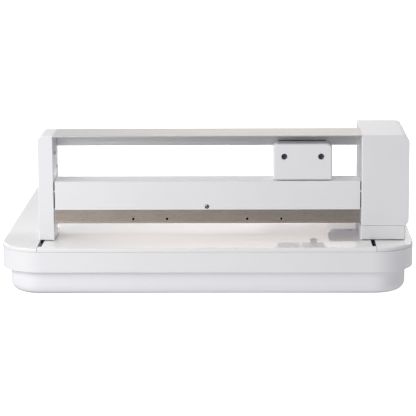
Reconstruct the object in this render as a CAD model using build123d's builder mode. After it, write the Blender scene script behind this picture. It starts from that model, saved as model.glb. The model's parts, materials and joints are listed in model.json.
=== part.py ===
"""Embroidery machine: a flat base, a bridge that travels front to back, and a carriage that travels
left to right on the bridge and holds the hoop.

Millimetres. The origin is at the middle of the footprint, on the surface that the feet stand on.
+X is to the operator's right, +Y away from the operator and +Z up. The bridge stands near the front of the
base and the carriage at its home end, on the right.
"""
import os

from build123d import *

os.makedirs("parts", exist_ok=True)

# ---- base casing ---------------------------------------------------------------------------------
BASE_W = 594.0
BASE_D = 560.0
CORNER_R = 59.0
WALL = 3.0
FEET_H = 2.0
TRAY_INSET = 11.0
TRAY_EDGE_R = 13.0
BODY_Z = 36.0
SEAM_Z = 66.5
SEAM_GAP = 0.4
COVER_GAP = 0.9
DECK_Z = 72.7
DECK_SKIN = 2.7
BODY_EDGE_R = 2.5
DECK_EDGE_R = 2.0
FLOOR_Z = FEET_H + WALL

FRONT_Y = -BASE_D / 2
BACK_Y = BASE_D / 2
TRAY_W = BASE_W - 2 * TRAY_INSET
TRAY_D = BASE_D - 2 * TRAY_INSET
TRAY_R = CORNER_R - TRAY_INSET

# the deck's side seams, and the slots that the bridge's posts run in
SEAM_X = 241.7
SEAM_W = 0.5
SLOT_W = 5.0
SLOT_CHAMFER = 0.8
SLOT_FRONT_Y = FRONT_Y + 12.0
SLOT_BACK_Y = 184.0

# ---- bridge --------------------------------------------------------------------------------------
BRIDGE_Y = FRONT_Y + 53.3
LEG_D = 72.7
LEG_W = 22.0
TOWER_D = 153.7
INNER_X = 221.6
TOWER_X0 = 222.3
TOWER_X1 = 290.9
TOP_Z = 226.0
FOOT_Z = DECK_Z + 1.0
COVER_WALL = 2.0
LEG_CORNER_R = 8.0
TOWER_CORNER_R = 12.0
TOWER_FOOT_R = 8.0
EDGE_R = 1.0
TOWER_EDGE_R = 1.8
HEM_R = 0.8
SKIRT_TOP_Z = 94.2
SKIRT_X0 = TOWER_X0 - 0.7
SKIRT_X1 = 286.0
SKIRT_INSET = 0.6
LEG_BACK_Y = BRIDGE_Y + LEG_D
TOWER_BACK_Y = BRIDGE_Y + TOWER_D

# posts and frames
PLATE_T = 2.0
FRAME_X = 225.2
POST_X = 239.3
POST_T = 3.0
POST_Y0 = BRIDGE_Y + 2.7
POST_Y1 = LEG_BACK_Y - 4.0
POST_BOTTOM_Z = 28.0
SHELF_Z = 78.0
FRAME_TOP_Z = 216.0
LEG_SCREWS = ((BRIDGE_Y + 23.9, 197.9), (BRIDGE_Y + 51.6, 174.2))
LEG_SCREW_R = 1.6
LEG_HEAD_R = 2.8
LEG_HEAD_H = 1.5

# top rail
RAIL_SKIN = 2.2
RAIL_EDGE_R = 0.6
WEB_Y = BRIDGE_Y + 51.7
WEB_BOTTOM_Z = 203.8
WEB_GROOVES_Z = (212.6, 208.6)
SKIN_GROOVES_Y = (BRIDGE_Y + 23.0, BRIDGE_Y + 60.0)
GROOVE_W = 1.2
GROOVE_DEPTH = 0.8

# crossbar
BAR_END_GAP = 1.7
BAR_Y0 = BRIDGE_Y + 1.2
BAR_Y1 = BRIDGE_Y + 46.7
BAR_TOP_Z = 159.6
BAR_BOTTOM_Z = 118.1
BAR_LIP = 1.0
BAR_LIP_H = 2.3
BAR_TAB_Z = 144.6
BAR_TAB_H = 1.6
STRIP_Y = BRIDGE_Y + 3.0
STRIP_T = 2.5
STRIP_BOTTOM_Z = 98.0
STRIP_LIP = 1.4
STRIP_LIP_R = 1.0
STRIP_HOLES_X = (-107.0, -58.0, 58.0, 107.0)
STRIP_HOLE_Z = 104.0
STRIP_HOLE_R = 1.5
BAR_SCREW_Z = 122.4
BAR_SCREW_R = 3.4
BAR_SCREW_DEPTH = STRIP_Y - BAR_Y0
BAR_HEAD_H = 1.2
BAR_X0 = -INNER_X + BAR_END_GAP
BAR_X1 = TOWER_X0 - BAR_END_GAP
BEAM_Y0 = STRIP_Y + STRIP_T
BEAM_Y1 = BAR_Y1 - COVER_WALL
BEAM_Z0 = STRIP_BOTTOM_Z + STRIP_T
BEAM_WALL = 3.0
BAR_THREAD_R = 1.6

# left-to-right drive: a belt behind the crossbar and a guide rod under it
DRIVE_Y = -166.0
BELT_W = 6.0
BELT_T = 1.2
FLANGE_T = 1.0
BELT_FIT = 0.1
PULLEY_HALF = (BELT_W + 1.0) / 2 + FLANGE_T
X_BELT_Z = 144.0
X_PULLEY_R = 5.5
X_IDLER_X = -234.0
X_MOTOR_X = 246.0
X_MOTOR_SIZE = 35.0
X_MOTOR_L = 34.0
GUIDE_Z = 114.0
GUIDE_R = 4.0
RUNNING_FIT = 0.05

# ---- carriage ------------------------------------------------------------------------------------
CARRIAGE_X = 138.0
CARRIAGE_W = 85.2
CARRIAGE_Z0 = 161.0
CARRIAGE_Z1 = 213.6
CARRIAGE_Y0 = BRIDGE_Y + 1.0
CARRIAGE_D = 28.0
CARRIAGE_Y1 = CARRIAGE_Y0 + CARRIAGE_D
CARRIAGE_MID_Z = (CARRIAGE_Z0 + CARRIAGE_Z1) / 2
CARRIAGE_H = CARRIAGE_Z1 - CARRIAGE_Z0
CARRIAGE_CORNER_R = 8.0
CARRIAGE_EDGE_R = 2.8
CARRIAGE_FOOT_R = 3.3
CARRIAGE_FACE_T = 3.0
HOOP_PITCH = 52.8
HOOP_Z = 194.9
HOOP_R = 4.5
SOCKET_R = 5.3
SOCKET_CHAMFER = 0.5
SOCKET_L = 18.0
GLIDE_W = 72.0
GLIDE_TOP_Z = 211.5
GLIDE_H = 5.9
SLIDE_GAP = 0.4
ARM_TOP_Z = 200.0
ARM_BOTTOM_Z = 102.0
ARM_Y0 = -159.0
ARM_T = 8.0
ARM_BACK_Y = ARM_Y0 + ARM_T
ARM_HALF_W = 34.0
ARM_FRONT_Y = CARRIAGE_Y0 + 3.5
GLIDE_Y = WEB_Y - 2.6
ARM_SCREWS = ((CARRIAGE_X - 22.0, 187.0), (CARRIAGE_X + 22.0, 187.0),
              (CARRIAGE_X - 22.0, 125.0), (CARRIAGE_X + 22.0, 125.0))
ARM_SCREW_R = 1.6
ARM_SCREW_L = 10.0
ARM_HEAD_R = 3.4
ARM_HEAD_H = 3.5
BUSH_END = 37.0
BUSH_R = 6.0
BUSH_L = 16.0
FOOT_BACK_Y = FRONT_Y + 177.5
FOOT_T = 10.0
FOOT_TOP_Z = ARM_BOTTOM_Z + FOOT_T
FOOT_HALF_W = 39.8
TAB_HALF_W = 35.0
NOTCH_W = 4.2
NOTCH_L = 23.5
POST_PIN_R = 6.25
POST_PIN_H = 7.0

# plate beside the tower that carries the home sensor
HOME_X = 178.7
HOME_Z = 86.5
HOME_T = 2.5
HOME_Y0 = FRONT_Y + 124.0
HOME_Y1 = TOWER_BACK_Y
HOME_TAB_Y0 = HOME_Y0 + 12.0
HOME_TAB_Y1 = HOME_Y1 - 12.0
HOME_SCREWS = ((195.5, -97.0), (213.0, -84.0))
HOME_CHAMFER_X = 8.6
HOME_CHAMFER_Y = 33.0
SENSOR_X = (186.0, 218.0)
SENSOR_Y = (-104.0, -77.0)
SENSOR_H = 9.0

# ---- front-to-back drive in the base -------------------------------------------------------------
ROD_X = 256.0
ROD_Z = 40.0
ROD_R = 5.0
ROD_Y0 = -252.0
ROD_Y1 = 184.0
SLIDER_Y0 = -205.0
SLIDER_Y1 = -165.0
Y_BELT_X = 228.0
Y_BELT_Z = 44.0
Y_PULLEY_R = 8.0
Y_IDLER_Y = -245.0
Y_CLAMP_Y0 = -194.0
Y_CLAMP_Y1 = -176.0
IDLER_PIN_R = 2.5
SHAFT_Y = 235.0
SHAFT_R = 4.0
SHAFT_BEARING_X = 212.0
WHEEL_R = 16.0
WHEEL_X = 63.0
MOTOR_Y = 190.0
MOTOR_Z = 30.0
MOTOR_X = 70.0
MOTOR_SIZE = 42.3
MOTOR_L = 40.0
MOTOR_PULLEY_R = 6.0
MOTOR_SHAFT_R = 2.5

# ---- electronics in the base ---------------------------------------------------------------------
BOARD_X = -30.0
BOARD_Y = 120.0
BOARD_W = 120.0
BOARD_D = 80.0
BOARD_Z = 13.0
BOARD_T = 1.6
BOARD_HOLES = [(BOARD_X + sx * 54.0, BOARD_Y + sy * 34.0) for sx in (-1, 1) for sy in (-1, 1)]
# processor, two motor drivers and the row of connectors: x, y, width, depth and height
CHIPS = ((-30, 10, 22, 22, 2.4), (20, -8, 14, 14, 5.0), (20, 18, 14, 14, 5.0), (46, 0, 8, 44, 9.0))
SUPPLY_X = (-205.0, -115.0)
SUPPLY_Y = (95.0, 165.0)
SUPPLY_H = 34.0

# ---- sockets and switch in the back of the base --------------------------------------------------
PORT_Z = 52.0
INLET_W = 24.0
INLET_H = 17.0
SWITCH_W = 19.2
SWITCH_H = 13.0
USB_W = 12.4
USB_H = 11.4
INLET_X = -170.0
SWITCH_X = -128.0
ROCKER_Y = BACK_Y - 5.6
ROCKER_HALF_W = 6.4
USB_X = -98.0
BOSSES = [(x, y) for x in (-150.0, 150.0) for y in (-200.0, 0.0, 200.0)]


def save(builder, label):
    """Name a finished piece and write it to its own file."""
    builder.part.label = label
    export_step(builder.part, f"parts/{label}.step")


def across(x):
    """A plane square to X, with Y to its right and Z up."""
    return Plane(origin=(x, 0, 0), x_dir=(0, 1, 0), z_dir=(1, 0, 0))


def upright(y):
    """A plane square to Y, with X to its right and Z up; it faces the operator."""
    return Plane(origin=(0, y, 0), x_dir=(1, 0, 0), z_dir=(0, -1, 0))


def block(x0, x1, y0, y1, z0, z1, mode=Mode.ADD):
    """Extrude a rectangle between two corners given along X, Y and Z."""
    with BuildSketch(Plane.XY.offset(z0)) as outline:
        with Locations(((x0 + x1) / 2, (y0 + y1) / 2)):
            Rectangle(abs(x1 - x0), abs(y1 - y0))
    extrude(outline.sketch, amount=z1 - z0, mode=mode)


def rod(plane, u, v, radius, length, mode=Mode.ADD):
    """Extrude a circle at (u, v) on a plane, along the plane's normal."""
    with BuildSketch(plane) as outline:
        with Locations((u, v)):
            Circle(radius)
    extrude(outline.sketch, amount=length, mode=mode)


def belt_loop(plane, ends, width):
    """A closed belt of the given width round two pulleys, each given as (u, v, radius)."""
    for grow, mode in ((BELT_T, Mode.ADD), (0.0, Mode.SUBTRACT)):
        with BuildSketch(plane) as loop:
            for u, v, radius in ends:
                with Locations((u, v)):
                    Circle(radius + grow)
            make_hull(loop.edges())
        extrude(loop.sketch, amount=width, mode=mode)


def pulley(plane, u, v, radius, bore):
    """A flanged belt pulley whose first flange lies on the plane."""
    rod(plane, u, v, radius - BELT_FIT, 2 * PULLEY_HALF)
    for start in (0.0, 2 * PULLEY_HALF - FLANGE_T):
        rod(plane.offset(start), u, v, radius + BELT_T + 0.6, FLANGE_T)
    if bore:
        rod(plane, u, v, bore, 2 * PULLEY_HALF, Mode.SUBTRACT)


# ==================================================================================================
# Base casing
# ==================================================================================================

# The lower pan: a shell with strongly rounded corners and a rounded bottom edge.
with BuildPart() as base_tray:
    with BuildSketch(Plane.XY.offset(FEET_H)):
        RectangleRounded(TRAY_W, TRAY_D, TRAY_R)
    extrude(amount=BODY_Z - FEET_H)
    fillet(base_tray.faces().sort_by(Axis.Z)[0].edges(), TRAY_EDGE_R)
    offset(amount=-WALL, openings=base_tray.faces().sort_by(Axis.Z)[-1])
    with Locations(*[(x, y, FEET_H) for x, y in BOSSES]):
        Cylinder(2.2, WALL, align=(Align.CENTER, Align.CENTER, Align.MIN), mode=Mode.SUBTRACT)
        Cylinder(4.2, 1.6, align=(Align.CENTER, Align.CENTER, Align.MIN), mode=Mode.SUBTRACT)
save(base_tray, "base_tray")

# The upper wall, which overhangs the pan all round and stands on its rim.
with BuildPart() as base_body:
    with BuildSketch(Plane.XY.offset(BODY_Z)):
        RectangleRounded(BASE_W, BASE_D, CORNER_R)
    extrude(amount=SEAM_Z - BODY_Z)
    fillet(base_body.faces().sort_by(Axis.Z)[0].edges(), BODY_EDGE_R)
    with BuildSketch(Plane.XY.offset(BODY_Z + WALL)):
        RectangleRounded(BASE_W - 2 * WALL, BASE_D - 2 * WALL, CORNER_R - WALL)
    extrude(amount=SEAM_Z, mode=Mode.SUBTRACT)
    with BuildSketch(Plane.XY.offset(BODY_Z)):
        RectangleRounded(TRAY_W - 2 * WALL, TRAY_D - 2 * WALL, TRAY_R - WALL)
    extrude(amount=WALL, mode=Mode.SUBTRACT)
    with BuildSketch(Plane.XY.offset(SEAM_Z)):
        RectangleRounded(BASE_W - WALL, BASE_D - WALL, CORNER_R - WALL / 2)
        RectangleRounded(BASE_W - 2 * WALL, BASE_D - 2 * WALL, CORNER_R - WALL, mode=Mode.SUBTRACT)
    extrude(amount=SEAM_GAP)
    with BuildSketch(upright(BACK_Y)):
        with Locations((INLET_X, PORT_Z)):
            RectangleRounded(INLET_W, INLET_H, 3.0)
        with Locations((SWITCH_X, PORT_Z)):
            Rectangle(SWITCH_W, SWITCH_H)
        with Locations((USB_X, PORT_Z)):
            Rectangle(USB_W, USB_H)
    extrude(amount=WALL, mode=Mode.SUBTRACT)
save(base_body, "base_body")

# The middle of the deck, with the two slots at its side edges and screw bosses down to the pan.
with BuildPart() as centre_deck:
    with BuildSketch(Plane.XY.offset(SEAM_Z + SEAM_GAP)):
        RectangleRounded(BASE_W, BASE_D, CORNER_R)
        Rectangle(2 * SEAM_X, BASE_D, mode=Mode.INTERSECT)
    extrude(amount=DECK_Z - SEAM_Z - SEAM_GAP)
    ends = centre_deck.faces().sort_by(Axis.Z)[-1].edges().filter_by(Axis.X)
    fillet(ends, DECK_EDGE_R)
    block(-SEAM_X + 12, SEAM_X - 12, FRONT_Y + 6, BACK_Y - 6, SEAM_Z, DECK_Z - DECK_SKIN, Mode.SUBTRACT)
    for side in (-1, 1):
        block(side * (SEAM_X - SLOT_W), side * SEAM_X, SLOT_FRONT_Y, SLOT_BACK_Y, SEAM_Z, DECK_Z,
              Mode.SUBTRACT)
    top_edges = centre_deck.faces().sort_by(Axis.Z)[-1].edges()
    chamfer([e for e in top_edges if abs(e.center().X) > SEAM_X - SLOT_W - 0.1
             and SLOT_FRONT_Y - 0.1 < e.center().Y < SLOT_BACK_Y + 0.1], SLOT_CHAMFER)
    with Locations(*[(x, y, FLOOR_Z) for x, y in BOSSES]):
        Cylinder(5.0, DECK_Z - DECK_SKIN - FLOOR_Z, align=(Align.CENTER, Align.CENTER, Align.MIN))
        Cylinder(1.6, 20.0, align=(Align.CENTER, Align.CENTER, Align.MIN), mode=Mode.SUBTRACT)
save(centre_deck, "centre_deck")

# The two side covers, which close the deck outside the slots. Each rests on the wall by a ledge inside
# its rim, so that the seam shows as a line.
for side, label in ((-1, "left_side_cover"), (1, "right_side_cover")):
    inner_x = SEAM_X + SEAM_W
    with BuildPart() as side_cover:
        for inset, z0, z1 in ((0.0, SEAM_Z + COVER_GAP, DECK_Z),
                              (WALL, SEAM_Z + SEAM_GAP, SEAM_Z + COVER_GAP)):
            with BuildSketch(Plane.XY.offset(z0)) as outline:
                RectangleRounded(BASE_W - inset, BASE_D - inset, CORNER_R - inset / 2)
                with Locations((side * (inner_x + BASE_W / 2), 0)):
                    Rectangle(BASE_W, BASE_D, mode=Mode.INTERSECT)
            extrude(outline.sketch, amount=z1 - z0)
            if not inset:
                rim = side_cover.faces().sort_by(Axis.Z)[-1].edges()
                fillet([e for e in rim if abs(e.center().X) > inner_x + 0.1], DECK_EDGE_R)
                rim = side_cover.faces().sort_by(Axis.Z)[-1].edges()
                chamfer([e for e in rim if abs(e.center().X) < inner_x + 0.1], SLOT_CHAMFER / 2)
        block(side * (inner_x + 3), side * (BASE_W / 2 - 22), FRONT_Y + 62, BACK_Y - 62,
              SEAM_Z, DECK_Z - DECK_SKIN, Mode.SUBTRACT)
    save(side_cover, label)

with BuildPart() as rubber_feet:
    with Locations(*[(x, y, 0) for x in (-225, 225) for y in (-215, 215)]):
        Cylinder(12.0, FEET_H, align=(Align.CENTER, Align.CENTER, Align.MIN))
    fillet(rubber_feet.faces().group_by(Axis.Z)[0].edges(), 0.6)
save(rubber_feet, "rubber_feet")

with BuildPart() as base_screws:
    with Locations(*[(x, y, FEET_H) for x, y in BOSSES]):
        Cylinder(3.8, 1.6, align=(Align.CENTER, Align.CENTER, Align.MIN))
        Cylinder(1.6, 18.0, align=(Align.CENTER, Align.CENTER, Align.MIN))
        Cylinder(1.0, 0.8, align=(Align.CENTER, Align.CENTER, Align.MIN), mode=Mode.SUBTRACT)
save(base_screws, "base_screws")

# ==================================================================================================
# Front-to-back drive, inside the base
# ==================================================================================================

with BuildPart() as y_rods:
    for side in (-1, 1):
        rod(upright(ROD_Y1), side * ROD_X, ROD_Z, ROD_R, ROD_Y1 - ROD_Y0)
save(y_rods, "y_rods")

# Each rod is held by a block at either end.
with BuildPart() as rod_supports:
    for side in (-1, 1):
        for y0 in (ROD_Y0, ROD_Y1 - 9.0):
            block(side * (ROD_X - 9), side * (ROD_X + 6.5), y0, y0 + 9.0, FLOOR_Z + 4, ROD_Z + 9)
            block(side * (ROD_X - 9), side * (ROD_X - 3), y0, y0 + 9.0, FLOOR_Z, FLOOR_Z + 4)
        rod(upright(ROD_Y1), side * ROD_X, ROD_Z, ROD_R, ROD_Y1 - ROD_Y0, Mode.SUBTRACT)
save(rod_supports, "rod_supports")

# The cross shaft turns both toothed belts together.
with BuildPart() as y_cross_shaft:
    rod(across(-Y_BELT_X - 6), SHAFT_Y, Y_BELT_Z, SHAFT_R, 2 * (Y_BELT_X + 6))
save(y_cross_shaft, "y_cross_shaft")

with BuildPart() as y_drive_pulleys:
    for side in (-1, 1):
        pulley(across(side * Y_BELT_X - PULLEY_HALF), SHAFT_Y, Y_BELT_Z, Y_PULLEY_R, SHAFT_R)
save(y_drive_pulleys, "y_drive_pulleys")

with BuildPart() as shaft_wheel:
    pulley(across(WHEEL_X - PULLEY_HALF), SHAFT_Y, Y_BELT_Z, WHEEL_R, SHAFT_R)
save(shaft_wheel, "shaft_wheel")

with BuildPart() as shaft_bearings:
    for side in (-1, 1):
        x = side * SHAFT_BEARING_X
        block(x - 5, x + 5, SHAFT_Y - 10, SHAFT_Y + 10, FLOOR_Z, Y_BELT_Z + 10)
    rod(across(-BASE_W / 2), SHAFT_Y, Y_BELT_Z, SHAFT_R + RUNNING_FIT, BASE_W, Mode.SUBTRACT)
save(shaft_bearings, "shaft_bearings")

# The front ends of the belts run on idlers, each on a pin in its own bracket.
with BuildPart() as y_idler_brackets:
    for side in (-1, 1):
        wall_x = side * (Y_BELT_X - 6)
        block(side * (Y_BELT_X - 12), wall_x, Y_IDLER_Y - 8, Y_IDLER_Y + 8, FLOOR_Z + 5, Y_BELT_Z + 8)
        block(side * (Y_BELT_X - 24), wall_x, Y_IDLER_Y, Y_IDLER_Y + 8, FLOOR_Z, FLOOR_Z + 5)
        rod(across(wall_x), Y_IDLER_Y, Y_BELT_Z, IDLER_PIN_R, side * 12.0)
save(y_idler_brackets, "y_idler_brackets")

for side, label in ((-1, "y_idler_left"), (1, "y_idler_right")):
    with BuildPart() as y_idler:
        pulley(across(side * Y_BELT_X - PULLEY_HALF), Y_IDLER_Y, Y_BELT_Z, Y_PULLEY_R,
               IDLER_PIN_R + RUNNING_FIT)
    save(y_idler, label)

with BuildPart() as y_belts:
    for side in (-1, 1):
        belt_ends = [(Y_IDLER_Y, Y_BELT_Z, Y_PULLEY_R), (SHAFT_Y, Y_BELT_Z, Y_PULLEY_R)]
        belt_loop(across(side * Y_BELT_X - BELT_W / 2), belt_ends, BELT_W)
save(y_belts, "y_belts")

with BuildPart() as y_motor:
    with BuildSketch(across(MOTOR_X)):
        with Locations((MOTOR_Y, MOTOR_Z)):
            RectangleRounded(MOTOR_SIZE, MOTOR_SIZE, 4.0)
    extrude(amount=MOTOR_L)
    rod(across(MOTOR_X - 2), MOTOR_Y, MOTOR_Z, 11.0, 2.0)
    rod(across(MOTOR_X - 2), MOTOR_Y, MOTOR_Z, MOTOR_SHAFT_R + RUNNING_FIT, 22.0, Mode.SUBTRACT)
save(y_motor, "y_motor")

with BuildPart() as motor_bracket:
    block(MOTOR_X - 3, MOTOR_X, MOTOR_Y - 24, MOTOR_Y + 24, FLOOR_Z, MOTOR_Z + 24)
    block(MOTOR_X - 3, MOTOR_X + MOTOR_L, MOTOR_Y - 24, MOTOR_Y + 24, FLOOR_Z, FLOOR_Z + 3)
    rod(across(MOTOR_X - 3), MOTOR_Y, MOTOR_Z, 11.2, 3.0, Mode.SUBTRACT)
save(motor_bracket, "motor_bracket")

with BuildPart() as y_motor_pulley:
    pulley(across(WHEEL_X - PULLEY_HALF), MOTOR_Y, MOTOR_Z, MOTOR_PULLEY_R, 0)
    rod(across(WHEEL_X), MOTOR_Y, MOTOR_Z, MOTOR_SHAFT_R, MOTOR_X + 18 - WHEEL_X)
save(y_motor_pulley, "y_motor_pulley")

with BuildPart() as drive_belt:
    belt_ends = [(MOTOR_Y, MOTOR_Z, MOTOR_PULLEY_R), (SHAFT_Y, Y_BELT_Z, WHEEL_R)]
    belt_loop(across(WHEEL_X - BELT_W / 2), belt_ends, BELT_W)
save(drive_belt, "drive_belt")

# ==================================================================================================
# Electronics in the base
# ==================================================================================================

with BuildPart() as board_standoffs:
    with Locations(*[(x, y, FLOOR_Z) for x, y in BOARD_HOLES]):
        Cylinder(3.0, BOARD_Z - FLOOR_Z, align=(Align.CENTER, Align.CENTER, Align.MIN))
save(board_standoffs, "board_standoffs")

with BuildPart() as control_board:
    block(BOARD_X - BOARD_W / 2, BOARD_X + BOARD_W / 2, BOARD_Y - BOARD_D / 2, BOARD_Y + BOARD_D / 2,
          BOARD_Z, BOARD_Z + BOARD_T)
    for x, y, w, d, h in CHIPS:
        block(BOARD_X + x - w / 2, BOARD_X + x + w / 2, BOARD_Y + y - d / 2, BOARD_Y + y + d / 2,
              BOARD_Z + BOARD_T, BOARD_Z + BOARD_T + h)
save(control_board, "control_board")

with BuildPart() as power_supply:
    block(*SUPPLY_X, *SUPPLY_Y, FLOOR_Z, FLOOR_Z + SUPPLY_H)
    fillet(power_supply.edges().filter_by(Axis.Z), 2.0)
save(power_supply, "power_supply")

# Mains inlet, figure-of-eight pattern, its two pins deep in the socket.
with BuildPart() as power_inlet:
    with BuildSketch(upright(BACK_Y)):
        with Locations((INLET_X, PORT_Z)):
            RectangleRounded(INLET_W, INLET_H, 3.0)
    extrude(amount=20.0)
    with BuildSketch(upright(BACK_Y)):
        with Locations((INLET_X, PORT_Z)):
            SlotOverall(17.0, 9.0)
    extrude(amount=14.0, mode=Mode.SUBTRACT)
    for dx in (-4.3, 4.3):
        rod(upright(BACK_Y - 3), INLET_X + dx, PORT_Z, 1.2, 12.0)
save(power_inlet, "power_inlet")

with BuildPart() as usb_port:
    with BuildSketch(upright(BACK_Y)):
        with Locations((USB_X, PORT_Z)):
            Rectangle(USB_W, USB_H)
    extrude(amount=16.0)
    with BuildSketch(upright(BACK_Y)):
        with Locations((USB_X, PORT_Z)):
            Rectangle(USB_W - 3.6, USB_H - 3.4)
    extrude(amount=9.0, mode=Mode.SUBTRACT)
save(usb_port, "usb_port")

with BuildPart() as switch_housing:
    with BuildSketch(upright(BACK_Y)):
        with Locations((SWITCH_X, PORT_Z)):
            Rectangle(SWITCH_W, SWITCH_H)
    extrude(amount=16.0)
    with BuildSketch(upright(BACK_Y)):
        with Locations((SWITCH_X, PORT_Z)):
            Rectangle(SWITCH_W - 2.4, SWITCH_H - 2.4)
    extrude(amount=12.0, mode=Mode.SUBTRACT)
    rod(Plane.XY.offset(PORT_Z - 6.2), SWITCH_X, ROCKER_Y, 1.0 + RUNNING_FIT, 12.4, Mode.SUBTRACT)
save(switch_housing, "switch_housing")

# The rocker's face is a shallow vee, one half pressed in; it turns on two pins along Z.
with BuildPart() as switch_rocker:
    with BuildSketch(Plane.XY.offset(PORT_Z - 4.9)):
        with BuildLine():
            vee = [(-ROCKER_HALF_W, 2.0), (0, 2.9), (ROCKER_HALF_W, 4.7), (ROCKER_HALF_W, 1.0),
                   (3.0, -4.0), (-3.0, -4.0), (-ROCKER_HALF_W, 0.0)]
            Polyline(*[(SWITCH_X + x, ROCKER_Y + y) for x, y in vee], close=True)
        make_face()
    extrude(amount=9.8)
    rod(Plane.XY.offset(PORT_Z - 6.2), SWITCH_X, ROCKER_Y, 1.0, 12.4)
save(switch_rocker, "switch_rocker")

# ==================================================================================================
# Bridge
# ==================================================================================================

# Left leg: a hollow cover with one rounded top corner, open underneath.
with BuildPart() as left_leg_cover:
    with BuildSketch(upright(LEG_BACK_Y)) as leg_front:
        with Locations((-INNER_X - LEG_W / 2, (FOOT_Z + TOP_Z) / 2)):
            Rectangle(LEG_W, TOP_Z - FOOT_Z)
        fillet(leg_front.vertices().group_by(Axis.Y)[-1].sort_by(Axis.X)[0], LEG_CORNER_R)
    extrude(amount=LEG_D)
    fillet(left_leg_cover.faces().sort_by(Axis.Y)[0].edges().filter_by(Axis.Z), EDGE_R)
    fillet(left_leg_cover.faces().sort_by(Axis.Z)[0].edges(), HEM_R)
    block(-INNER_X - LEG_W + COVER_WALL, -INNER_X - COVER_WALL,
          BRIDGE_Y + COVER_WALL, LEG_BACK_Y - COVER_WALL, FOOT_Z, TOP_Z - LEG_CORNER_R, Mode.SUBTRACT)
    block(-INNER_X - COVER_WALL, -INNER_X, DRIVE_Y - 6, DRIVE_Y + 6, X_BELT_Z - 12, X_BELT_Z + 12,
          Mode.SUBTRACT)
    rod(across(-INNER_X), DRIVE_Y, GUIDE_Z, GUIDE_R, -COVER_WALL, Mode.SUBTRACT)
    for y, z in LEG_SCREWS:
        rod(across(-INNER_X), y, z, LEG_SCREW_R, -COVER_WALL, Mode.SUBTRACT)
save(left_leg_cover, "left_leg_cover")

# Pan-head screws that stand proud of the leg's inner face.
with BuildPart() as leg_screws:
    for y, z in LEG_SCREWS:
        rod(across(-INNER_X), y, z, LEG_HEAD_R, LEG_HEAD_H)
    fillet(leg_screws.faces().sort_by(Axis.X)[-2:].edges(), LEG_HEAD_H / 2)
    for y, z in LEG_SCREWS:
        rod(across(-INNER_X), y, z, LEG_SCREW_R, -COVER_WALL)
        rod(across(-INNER_X + LEG_HEAD_H), y, z, 0.9, -0.8, Mode.SUBTRACT)
save(leg_screws, "leg_screws")

# Each frame is a bent plate: it stands inside the leg, steps outwards and goes down through the slot.
FRAME_BACK = {-1: POST_Y1, 1: TOWER_BACK_Y - 8.0}
for side, label in ((-1, "left_leg_frame"), (1, "right_tower_frame")):
    post_in = side * (POST_X - POST_T / 2)
    post_out = side * (POST_X + POST_T / 2)
    with BuildPart() as frame:
        block(side * FRAME_X, side * (FRAME_X + PLATE_T), POST_Y0, FRAME_BACK[side], SHELF_Z, FRAME_TOP_Z)
        block(side * FRAME_X, post_out, POST_Y0, POST_Y1, SHELF_Z, SHELF_Z + POST_T)
        block(post_in, post_out, POST_Y0, POST_Y1, POST_BOTTOM_Z, SHELF_Z)
        block(side * FRAME_X, side * (FRAME_X + PLATE_T), DRIVE_Y - 5, DRIVE_Y + 5,
              X_BELT_Z - 10, X_BELT_Z + 10, Mode.SUBTRACT)
        rod(across(side * FRAME_X), DRIVE_Y, GUIDE_Z, GUIDE_R, side * PLATE_T, Mode.SUBTRACT)
        if side < 0:
            block(side * FRAME_X, side * 241.0, POST_Y1 - 2.0, POST_Y1, X_BELT_Z - 14, X_BELT_Z + 14)
            rod(upright(POST_Y1 - 2.0), X_IDLER_X, X_BELT_Z, 2.0, 13.0)
        else:
            motor_half = X_MOTOR_SIZE / 2 + 2
            block(FRAME_X, X_MOTOR_X + motor_half, POST_Y1 - 2.0, POST_Y1,
                  X_BELT_Z - motor_half, X_BELT_Z + motor_half)
            rod(upright(POST_Y1), X_MOTOR_X, X_BELT_Z, 8.0, 2.0, Mode.SUBTRACT)
            block(FRAME_X, FRAME_X + PLATE_T, HOME_TAB_Y0, HOME_TAB_Y1, HOME_Z, HOME_Z + HOME_T,
                  Mode.SUBTRACT)
    save(frame, label)

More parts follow.
